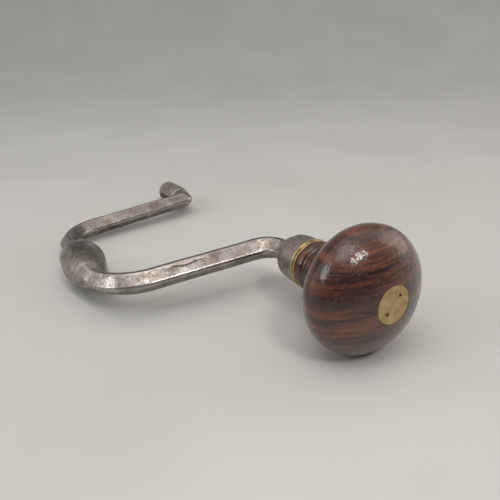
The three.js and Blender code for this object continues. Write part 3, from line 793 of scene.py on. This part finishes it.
BAR_DIAGONAL_FACE = 6.6
BAR_TOP_CORNER = 7.75
BAR_SIDE_CORNER = 8.3
GRIP_FACE = 14.95
GRIP_END_FACE = 5.4
ELBOW_INNER_EASE = 1.2
ELBOW_OUTER_EASE = 9
ELBOW_SETBACK = 15
ELBOW_STEPS = 10
RING_POINTS = 144
RING_STEP = 0.9
BAR_SHARPNESS = 34
GRIP_SHARPNESS = 20
ROUND_SHARPNESS = 14
ROUND_FROM = 8.6
ROUND_OVER = 3
BAR_TAPER = 0.08
BAR_SWELLING_LENGTH = 18
GRIP_CURVE = 0.8
GRIP_BLEND = 0.6
FACING_OUT = Vector((0, 1))
STUB_END_X = SOCKET_X - 0.25
STUB_GAP = 0.3
FORGED_SIZE = 19
FORGED_DEPTH = 0.22
FILED_SIZE = 6
FILED_DEPTH = 0.03
LAP_START = Vector((111.5, 50, 5.4))
LAP_END = Vector((114.5, 80, 5.7))
LAP_HALF_WIDTH = 0.8
LAP_DEPTH = 0.28
LAP_PIT_RADIUS = 2.4
LAP_PIT_DEPTH = 0.2
LAP_LAST_X = 119
LAP_LOWEST_Z = 2


def bent_line(corners, step):
    """Places along straights joined by arcs: (point, direction, distance travelled)."""
    places = []
    travelled = 0

    def add(point, direction):
        nonlocal travelled
        if places:
            travelled += (point - places[-1][0]).length
        places.append((point, direction, travelled))

    here = Vector(corners[0][:2])
    for index in range(1, len(corners)):
        corner = Vector(corners[index][:2])
        incoming = (corner - Vector(corners[index - 1][:2])).normalized()
        if index == len(corners) - 1:
            turn, bend = 0, 0
        else:
            outgoing = (Vector(corners[index + 1][:2]) - corner).normalized()
            turn = incoming.angle(outgoing)
            bend = corners[index][2]
        start = corner - incoming * bend * math.tan(turn / 2)
        count = max(1, round((start - here).length / step))
        for share in range(count + 1):
            point = here.lerp(start, share / count)
            if not places or (point - places[-1][0]).length > step / 10:
                add(point, incoming)
        if bend:
            side = 1 if incoming.cross(outgoing) > 0 else -1
            centre = start + Vector((-incoming.y, incoming.x)) * side * bend
            count = max(2, round(bend * turn / step))
            for share in range(1, count + 1):
                swing = Matrix.Rotation(side * turn * share / count, 2)
                add(centre + swing @ (start - centre), swing @ incoming)
        here = places[-1][0]
    return places


def soft_maximum(first, second, blend):
    """The larger of two numbers, eased where they meet."""
    gap = max(0, blend - abs(first - second)) / blend
    return max(first, second) + gap * gap * blend / 4


def bar_faces(place, travelled, whole):
    """Distances of the bar's eight faces at one place: a square on edge, swelling to eight equal faces."""
    size = 1.0 - BAR_TAPER * min(1, travelled / whole)
    size *= 1.0 - BAR_TAPER * (1 - min(1, travelled / BAR_SWELLING_LENGTH))
    corners = (BAR_SIDE_CORNER, BAR_DIAGONAL_FACE, BAR_TOP_CORNER, BAR_DIAGONAL_FACE) * 2
    swelling = 0
    if place.y > THROW * 0.9:
        reach = GRIP_NEAR_LENGTH if place.x < GRIP_X else GRIP_FAR_LENGTH
        share = (place.x - GRIP_X) / reach
        if abs(share) < 1:
            fullness = math.cos(share * math.pi / 2) ** GRIP_CURVE
            swelling = GRIP_END_FACE + (GRIP_FACE - GRIP_END_FACE) * fullness
    return [soft_maximum(distance * size, swelling, GRIP_BLEND) for distance in corners]


def ring_at(place, outward, faces, sharpness, mitre=1.0):
    """One ring of the bar and its wear, round a place, with the outward direction in the crank's plane."""
    centre = Vector((place.x, place.y, 0))
    sideways = Vector((outward.x, outward.y, 0)) * mitre
    ring, wear = [], []
    for step in range(RING_POINTS):
        angle = 2 * math.pi * step / RING_POINTS
        radius, corner = octagon_share(angle, sharpness, faces)
        point = centre + radius * (sideways * math.cos(angle) + Vector((0, 0, 1)) * math.sin(angle))
        ring.append(point)
        wear.append(corner)
    return ring, wear


def rounded_elbow(before, corner, after, count):
    """Rings that carry the bar round a mitre, the outside of the corner eased more than the inside."""
    rings = []
    for step in range(count + 1):
        ring = []
        for index, (first, middle, last) in enumerate(zip(before[0], corner[0], after[0])):
            outside = (1 - math.cos(2 * math.pi * index / RING_POINTS)) / 2
            reach = ELBOW_INNER_EASE + (ELBOW_OUTER_EASE - ELBOW_INNER_EASE) * outside
            start = middle + (first - middle).normalized() * reach
            end = middle + (last - middle).normalized() * reach
            ring.append(Vector(quadratic(start, middle, end, count)[step]))
        rings.append((ring, corner[1]))
    return rings


def forged(point):
    """The small waviness left by the hammer and the file."""
    hammer = noise.noise(point / FORGED_SIZE) * FORGED_DEPTH
    return hammer + noise.noise(point / FILED_SIZE + Vector((3, 7, 1))) * FILED_DEPTH


def lap_flaw(point):
    """A shallow lap in the forging on the face of the near arm, ending in a small pit."""
    along = LAP_END - LAP_START
    share = (point - LAP_START).dot(along) / along.length_squared
    if not 0 <= share <= 1 or point.z < LAP_LOWEST_Z or point.x > LAP_LAST_X:
        return 0
    middle_z = LAP_START.z + (LAP_END.z - LAP_START.z) * share + 0.5 * math.sin(share * 9)
    groove = max(0, 1 - abs(point.z - middle_z) / LAP_HALF_WIDTH) * math.sin(math.pi * share) ** 0.4
    pit = max(0, 1 - (point - LAP_START.lerp(LAP_END, 0.1)).length / LAP_PIT_RADIUS)
    return -LAP_DEPTH * groove - LAP_PIT_DEPTH * pit


def square_to(direction):
    """The direction at a right angle to another in the crank's plane."""
    return Vector((-direction.y, direction.x))


def arm_rings(line, far_elbow):
    """Rings along both arms and the grip, up to the setback before the far elbow."""
    whole = line[-1][2]
    rings = []
    for place, direction, travelled in line:
        if (place - far_elbow).length < ELBOW_SETBACK and place.x > GRIP_X:
            continue
        faces = bar_faces(place, travelled, whole)
        round_share = min(1, max(0, (max(faces) - ROUND_FROM) / ROUND_OVER))
        sharpness = BAR_SHARPNESS + (GRIP_SHARPNESS - BAR_SHARPNESS) * round_share
        ring, wear = ring_at(place, square_to(direction), faces, sharpness)
        rings.append((ring, [part * (1 - round_share) for part in wear]))
    return rings


def elbow_rings(line, far_elbow):
    """Rings round the mitred far elbow, from the bar's eight faces to the socket's round back."""
    direction, whole = line[-1][1:]
    faces = bar_faces(far_elbow, whole, whole)
    stub_faces = [SOCKET_BACK_RADIUS - STUB_GAP] * 8
    elbow_faces = [(bar + stub) / 2 for bar, stub in zip(faces, stub_faces)]
    half_turn = direction.angle(Vector((1, 0))) / 2
    bisector = (square_to(direction) + FACING_OUT).normalized()
    arm_end = ring_at(far_elbow - direction * ELBOW_SETBACK, square_to(direction), faces, BAR_SHARPNESS)
    mitre = ring_at(far_elbow, bisector, elbow_faces, ROUND_SHARPNESS, 1 / math.cos(half_turn))
    stub_end = ring_at(Vector((STUB_END_X, 0)), FACING_OUT, stub_faces, ROUND_SHARPNESS)
    return [arm_end] + rounded_elbow(arm_end, mitre, stub_end, ELBOW_STEPS) + [stub_end]


def crank_frame():
    """The whole bar from the collar to the socket, with the grip swelling and the mitred far elbow."""
    far_elbow = Vector((FAR_ELBOW_X, 0))
    start_x = COLLAR_END_X - 0.05
    line = bent_line([
        (start_x, 0),
        (NEAR_ELBOW_X, 0, NEAR_ELBOW_BEND),
        (NEAR_BEND_X, THROW, NEAR_GRIP_BEND),
        (FAR_BEND_X, THROW, FAR_GRIP_BEND),
        (FAR_ELBOW_X, 0),
    ], RING_STEP)
    skins = [[Vector((start_x, 0, 0))]]
    wears = [0.0]
    for ring, wear in arm_rings(line, far_elbow) + elbow_rings(line, far_elbow):
        centre = sum(ring, Vector()) / len(ring)
        moved = []
        for point in ring:
            outward = (point - centre).normalized()
            moved.append(point + outward * (forged(point) + lap_flaw(point)))
        skins.append(moved)
        wears.extend(wear)
    skins.append([Vector((STUB_END_X, 0, 0))])
    wears.append(0.0)
    vertices, faces = lofted(skins)
    # Darkening that follows the lap's depth: grime in the lap and painted shade in its hollow.
    grime_and_painted_shade_values = [min(1.0, -lap_flaw(point) * 4) for point in vertices]
    piece = make_piece("crank_bar", vertices, faces, sharp=50, wear=wears, grime=grime_and_painted_shade_values)
    return finish_piece(piece, "frame", "forged_steel", CRANK_STEEL, "crank_frame")


# -------- socket and catch

TANG_SIDE = 11.2
TANG_DEPTH = 26
TANG_TAPER = 0.78
SOCKET_BACK_RADIUS = 8
SOCKET_SHOULDER = 15
SOCKET_LIP = 1.7
SLOT_HALF = CATCH_WIDTH / 2 + 0.3
SLOT_FLOOR_Y = 3
SLOT_FRONT_X = LENGTH - 5
SLOT_BREAK_X = LENGTH - 23.5
SLOT_BACK_X = LENGTH - 32.7
POCKET_FLOOR_Y = SPRING_Y[0] - 0.3
LEVER_TOP_Y = 10.2
LEVER_SOLE_Y = 5.8
LEVER_THUMB_X = PIVOT_X - 12.6
LEVER_NECK_X = PIVOT_X - 5
SPRING_THICKNESS = 0.55
SPRING_INSET = 0.02


def tapered_hole():
    """Square hole for the bit's tang, narrowing towards its bottom."""
    mouth, bottom = LENGTH + 1, LENGTH - TANG_DEPTH
    rings = [[Vector((mouth, 0, 0))]]
    for x, side in ((mouth, TANG_SIDE * 1.01), (bottom, TANG_SIDE * TANG_TAPER)):
        half = side / 2
        rings.append([Vector((x, y * half, z * half)) for y, z in ((1, 1), (-1, 1), (-1, -1), (1, -1))])
    rings.append([Vector((bottom, 0, 0))])
    return make_piece("hole", *lofted(rings))


def hammered(point):
    """Slight unevenness of the socket's skin."""
    return noise.noise(point / 8) * 0.1


def chuck_socket():
    """Drum with a rounded shoulder, bored square for the bit and slotted for the catch."""
    swell = SOCKET_RADIUS - SOCKET_BACK_RADIUS
    outline = [(SOCKET_X, 0), (SOCKET_X, SOCKET_BACK_RADIUS - 0.4)]
    shoulder = SOCKET_X + SOCKET_SHOULDER
    outline += arc((shoulder, SOCKET_BACK_RADIUS), (SOCKET_SHOULDER, swell), 172, 90, 18)
    outline += straight((shoulder + 1, SOCKET_RADIUS), (LENGTH - 2.2, SOCKET_RADIUS), 10)
    outline += arc((LENGTH - SOCKET_LIP, SOCKET_RADIUS - SOCKET_LIP), (SOCKET_LIP, SOCKET_LIP), 90, 0, 8)
    outline += [(LENGTH, 0)]
    socket = make_piece("bit_socket", *turned(outline, 128, hammered))
    top, side = SOCKET_RADIUS + 3, SOCKET_RADIUS
    pocket_low = (SLOT_BACK_X, POCKET_FLOOR_Y, -SLOT_HALF)
    pin_ends = (PIVOT_X, PIVOT_Y, -side), (PIVOT_X, PIVOT_Y, side)
    screw_ends = (SCREW_X, 4, 0), (SCREW_X, SPRING_Y[0] + 1, 0)
    carve(
        socket,
        tapered_hole(),
        box_tool("slot", (SLOT_BREAK_X, SLOT_FLOOR_Y, -SLOT_HALF), (SLOT_FRONT_X, top, SLOT_HALF)),
        box_tool("pocket", pocket_low, (SLOT_BREAK_X + 1, top, SLOT_HALF)),
        round_tool("pin_hole", *pin_ends, PIVOT_RADIUS + 0.2),
        round_tool("screw_hole", *screw_ends, 1.0),
    )
    bevelled(socket, 0.28, 2, 40)
    return finish_piece(socket, "frame", "socket_steel", SOCKET_STEEL, "chuck_socket")


def catch_lever():
    """The lever on edge: a nib at the front, a sole over the spring and a thumb piece curling out."""
    nib_front, nib_low, thumb_top = CATCH_LEVER_X[1], CATCH_LEVER_Y[0], CATCH_LEVER_Y[1]
    neck = (LEVER_NECK_X, LEVER_TOP_Y)
    outline = [(nib_front, LEVER_TOP_Y), neck]
    outline += quadratic(neck, (PIVOT_X - 9, LEVER_TOP_Y + 0.6), (PIVOT_X - 10.5, thumb_top), 10)[1:]
    thumb = (LEVER_THUMB_X, thumb_top - 0.4)
    under_thumb = (PIVOT_X - 9, LEVER_TOP_Y - 1.6)
    outline += [thumb]
    outline += quadratic(thumb, (LEVER_THUMB_X + 0.2, LEVER_TOP_Y - 1), under_thumb, 10)[1:]
    outline += [
        (LEVER_NECK_X, LEVER_TOP_Y - 1.8),
        (PIVOT_X - 2.6, LEVER_SOLE_Y),
        (PIVOT_X + 7, LEVER_SOLE_Y),
        (nib_front - 3, nib_low),
        (nib_front - 0.8, nib_low),
        (nib_front, LEVER_SOLE_Y),
    ]
    lever = make_piece("catch_thumb_lever", *extruded(outline, CATCH_WIDTH / 2))
    ends = (PIVOT_X, PIVOT_Y, -CATCH_WIDTH), (PIVOT_X, PIVOT_Y, CATCH_WIDTH)
    carve(lever, round_tool("bore", *ends, PIVOT_RADIUS + 0.25))
    bevelled(lever, 0.35, 3, 30)
    # Painted shade: the lever takes the near-black steel for the shade it lies in.
    return finish_piece(lever, "catch", "dark_steel", PAINTED_SHADE_STEEL, "catch_lever")


def catch_spring():
    """Thin leaf under its screw that bends up to the sole of the lever."""
    start, tip = SPRING_X
    foot, top = SPRING_Y[0] + SPRING_INSET, SPRING_Y[1] - SPRING_INSET
    flat_end = SCREW_X + 1.8
    under = straight((start, foot), (flat_end, foot), 6)
    under += quadratic((flat_end, foot), (PIVOT_X - 9, foot), (tip, top - SPRING_THICKNESS), 14)
    rise = [(x, y + SPRING_THICKNESS) for x, y in under]
    leaf = make_piece("catch_leaf", *extruded(under + rise[::-1], CATCH_WIDTH / 2 - 0.2))
    bevelled(leaf, 0.1, 1, 40)
    leaf.data.materials.clear()
    leaf.data.materials.append(SPRING_STEEL)
    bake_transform(leaf)
    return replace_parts(leaf, "catch_spring")


def catch_pivot_pin():
    """Cross pin with lightly domed, riveted ends."""
    dome = 0.5
    shank = extent("catch_pivot_pin", Z)[1] - dome
    half_dome = arc((0, 0), (dome, PIVOT_RADIUS), 180, 90, 5)
    outline = [(x - shank, radius) for x, radius in half_dome]
    outline += straight((-shank, PIVOT_RADIUS), (shank, PIVOT_RADIUS), 6)[1:]
    outline += [(shank - x, radius) for x, radius in half_dome[::-1]]
    vertices, faces = turned(outline, 32)
    placed = [Vector((PIVOT_X + v.y, PIVOT_Y + v.z, v.x)) for v in vertices]
    piece = make_piece("catch_pin", placed, faces)
    return finish_piece(piece, "frame", "turned_steel", TURNED_STEEL, "catch_pivot_pin")


def spring_screw():
    """Slotted screw that holds the leaf spring down."""
    low, high = SCREW_Y
    seat, ease, shank = high - 0.8, 0.35, 0.7
    outline = [(low, 0), (low, shank), (seat, shank), (seat, SCREW_RADIUS - 0.1), (seat + 0.1, SCREW_RADIUS)]
    outline += arc((high - ease, SCREW_RADIUS - ease), (ease, ease), 90, 0, 4) + [(high, 0)]
    vertices, faces = turned(outline, 40)
    placed = [Vector((SCREW_X + v.y, v.x, v.z)) for v in vertices]
    piece = make_piece("leaf_screw", placed, faces)
    carve(piece, box_tool("slot", (SCREW_X - 2, high - ease, -0.2), (SCREW_X + 2, high + 1, 0.2)))
    # Painted shade: the screw in the pocket takes the near-black steel for the shade there.
    return finish_piece(piece, "frame", "dark_steel", PAINTED_SHADE_STEEL, "spring_screw")


# -------- hidden pieces keep their CAD shape

HIDDEN_STEEL = ["head_spindle", "spindle_washer", "spindle_nut", "nut_cross_pin"]
HIDDEN_STEEL += [f"crown_screw_{number}" for number in (1, 2, 3)]
HIDDEN_BRASS = ["neck_bush", "crown_bush"]


def finish_hidden_pieces():
    """Gives each CAD piece that is carried over its material."""
    for nodes, material in ((HIDDEN_STEEL, TURNED_STEEL), (HIDDEN_BRASS, FERRULE_BRASS)):
        for node in nodes:
            for slot in frame["nodes"][node].material_slots:
                slot.material = material


# -------- studio, in metres

ROOM_DARK = (0.10, 0.103, 0.108)
ROOM_MIDDLE = (0.22, 0.224, 0.23)
ROOM_BRIGHT = (1.0, 0.95, 0.90)
CAMERA_AZIMUTH = 149.78
CAMERA_ELEVATION = 26.5
CAMERA_ROLL = -1.42
CAMERA_DISTANCE = 0.3462
CAMERA_LENS = 33.72
SENSOR_WIDTH = 36
TARGET_SHARES = (0.1744, 0.4501, 0.2644)
WARM_WHITE = (1.0, 0.98, 0.95)
FLOOR_HALF = 3.0
BACKDROP_DISTANCE = 1.7
BACKDROP_HEIGHT = 2.2
BACKDROP_BEND = 0.8
BACKDROP_STEPS = 16


def floor_material():
    """Pale matt tabletop with a faint cloudiness."""
    finish = Finish("pale_table", Roughness=0.5)
    shade = finish.noise(160, detail=3)
    colour = finish.ramp(shade, (0.35, (0.55, 0.545, 0.52)), (0.65, (0.58, 0.575, 0.55)))
    finish.set(Base_Color=colour)
    return finish.material


def studio_floor():
    """A pale floor that sweeps up into a backdrop far behind the brace."""
    bend = BACKDROP_BEND
    flat_end = BACKDROP_DISTANCE - bend
    profile = [(-FLOOR_HALF, 0.0), (flat_end, 0.0)]
    profile += arc((flat_end, bend), (bend, bend), -90, 0, BACKDROP_STEPS)[1:]
    profile += [(BACKDROP_DISTANCE, BACKDROP_HEIGHT)]
    vertices = [Vector((x, side * FLOOR_HALF, z)) for x, z in profile for side in (-1, 1)]
    faces = [(2 * i, 2 * i + 1, 2 * i + 3, 2 * i + 2) for i in range(len(profile) - 1)]
    mesh = bpy.data.meshes.new("studio_floor")
    mesh.from_pydata(vertices, [], faces)
    mesh.shade_smooth()
    floor = bpy.data.objects.new("studio_floor", mesh)
    bpy.context.scene.collection.objects.link(floor)
    floor.rotation_euler.z = math.radians(CAMERA_AZIMUTH - 180)
    mesh.materials.append(floor_material())


def heading(azimuth, elevation):
    """The direction at an azimuth and elevation, in degrees."""
    a, e = math.radians(azimuth), math.radians(elevation)
    return Vector((math.cos(e) * math.cos(a), math.cos(e) * math.sin(a), math.sin(e)))


def soft_light(name, azimuth, elevation, distance, size, power, colour=WARM_WHITE):
    """A soft rectangular light at a distance from the middle of the brace, turned towards it."""
    lamp = bpy.data.lights.new(name, "AREA")
    lamp.shape = "RECTANGLE"
    lamp.size, lamp.size_y = size
    lamp.energy = power
    lamp.color = colour
    low, high = CAD_BOX
    away = heading(azimuth, elevation)
    light = bpy.data.objects.new(name, lamp)
    light.location = (Vector(low) + Vector(high)) / 2 + away * distance
    light.rotation_euler = away.to_track_quat("Z", "Y").to_euler()
    bpy.context.scene.collection.objects.link(light)


def studio_lights():
    """A key light and its reflections from the camera's side, and soft fills from the others."""
    soft_light("key", 183, 51, 1.5, (0.28, 0.3), 5.5, (1.0, 0.975, 0.94))
    soft_light("ceiling", 120, 73, 1.7, (1.0, 1.0), 7)
    soft_light("lamp", 168, 71, 1.6, (0.15, 0.15), 0.7)
    soft_light("side", 262, 24, 2.2, (1.6, 1.2), 5)
    soft_light("fill", 80, 32, 2.0, (0.7, 0.7), 7, (0.94, 0.97, 1.0))


def studio_world():
    """A room that is bright behind the brace and darker behind the camera."""
    world = bpy.data.worlds.new("studio")
    bpy.context.scene.world = world
    world.use_nodes = True
    tree = world.node_tree
    direction = tree.nodes.new("ShaderNodeTexCoord")
    towards = tree.nodes.new("ShaderNodeVectorMath")
    towards.operation = "DOT_PRODUCT"
    bright_side = math.radians(CAMERA_AZIMUTH + 180)
    towards.inputs[1].default_value = (math.cos(bright_side), math.sin(bright_side), 0.25)
    ramp = tree.nodes.new("ShaderNodeValToRGB")
    shades = ((0.0, ROOM_DARK), (0.42, ROOM_MIDDLE), (0.7, ROOM_BRIGHT))
    while len(ramp.color_ramp.elements) < len(shades):
        ramp.color_ramp.elements.new(0.5)
    for element, (position, colour) in zip(ramp.color_ramp.elements, shades):
        element.position = position
        element.color = (*colour, 1)
    spread = tree.nodes.new("ShaderNodeMapRange")
    spread.inputs["From Min"].default_value = -1
    tree.links.new(direction.outputs["Generated"], towards.inputs[0])
    tree.links.new(towards.outputs["Value"], spread.inputs["Value"])
    tree.links.new(spread.outputs["Result"], ramp.inputs["Fac"])
    tree.links.new(ramp.outputs["Color"], tree.nodes["Background"].inputs["Color"])


def studio_camera():
    """Looks down from the head end at a point between the head and the grip."""
    low, high = CAD_BOX
    reach = (low[X], low[Y], high[Z])
    target = Vector([side * share for side, share in zip(reach, TARGET_SHARES)])
    back = heading(CAMERA_AZIMUTH, CAMERA_ELEVATION)
    level = Vector((0, 0, 1)).cross(back).normalized()
    above = back.cross(level)
    roll = math.radians(CAMERA_ROLL)
    right = level * math.cos(roll) + above * math.sin(roll)
    up = back.cross(right)
    lens = bpy.data.cameras.new("camera")
    lens.lens = CAMERA_LENS
    lens.sensor_width = SENSOR_WIDTH
    lens.clip_start = 0.01
    camera = bpy.data.objects.new("camera", lens)
    facing = Matrix((right, up, back)).transposed().to_4x4()
    camera.matrix_world = Matrix.Translation(target + back * CAMERA_DISTANCE) @ facing
    bpy.context.scene.collection.objects.link(camera)
    bpy.context.scene.camera = camera


# -------- the scene

bpy.context.scene.view_settings.view_transform = "Standard"
studio_camera()
studio_lights()
studio_world()
studio_floor()

rosewood_head()
cover_disc()
neck_ferrule()
thrust_washer()
neck_collar()
crank_frame()
chuck_socket()
catch_lever()
catch_spring()
catch_pivot_pin()
spring_screw()
finish_hidden_pieces()
